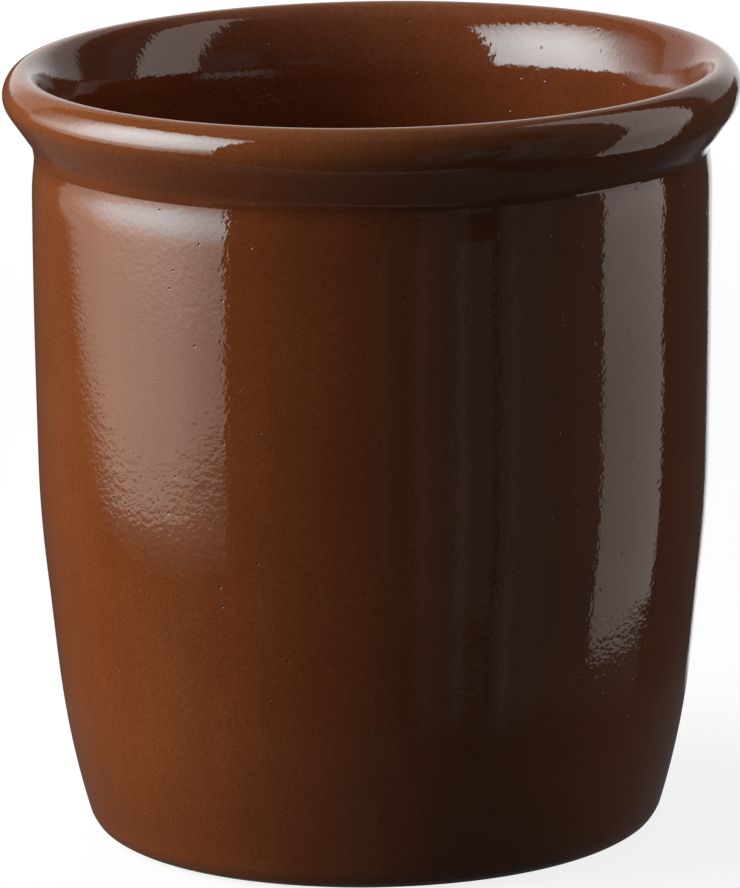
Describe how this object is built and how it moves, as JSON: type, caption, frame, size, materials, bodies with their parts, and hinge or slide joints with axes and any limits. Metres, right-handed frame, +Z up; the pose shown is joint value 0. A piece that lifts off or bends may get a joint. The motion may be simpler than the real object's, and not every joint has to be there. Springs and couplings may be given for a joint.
{
  "type": "preserving crock",
  "caption": "Straight-sided stoneware preserving crock with a rolled rim over a pinched neck, glazed brown inside and out, open at the top, with a bare foot.",
  "frame": {"origin": "centre of the foot, on the surface that the crock stands on", "axes": "+Z up along the axis that the crock is turned about; it is round, so X and Y are free"},
  "size_m": [0.157, 0.157, 0.1663],
  "materials": {
    "bare_stoneware": "bare fired clay, matt, with fine turning rings",
    "dipped_glaze": "glossy brown glaze with a light orange-peel surface",
    "poured_glaze": "glossy brown glaze, a little smoother than outside"
  },
  "bodies": {
    "root": {"stoneware_body": "bare_stoneware", "outer_glaze": "dipped_glaze", "inner_glaze": "poured_glaze"}
  },
  "joints": []
}
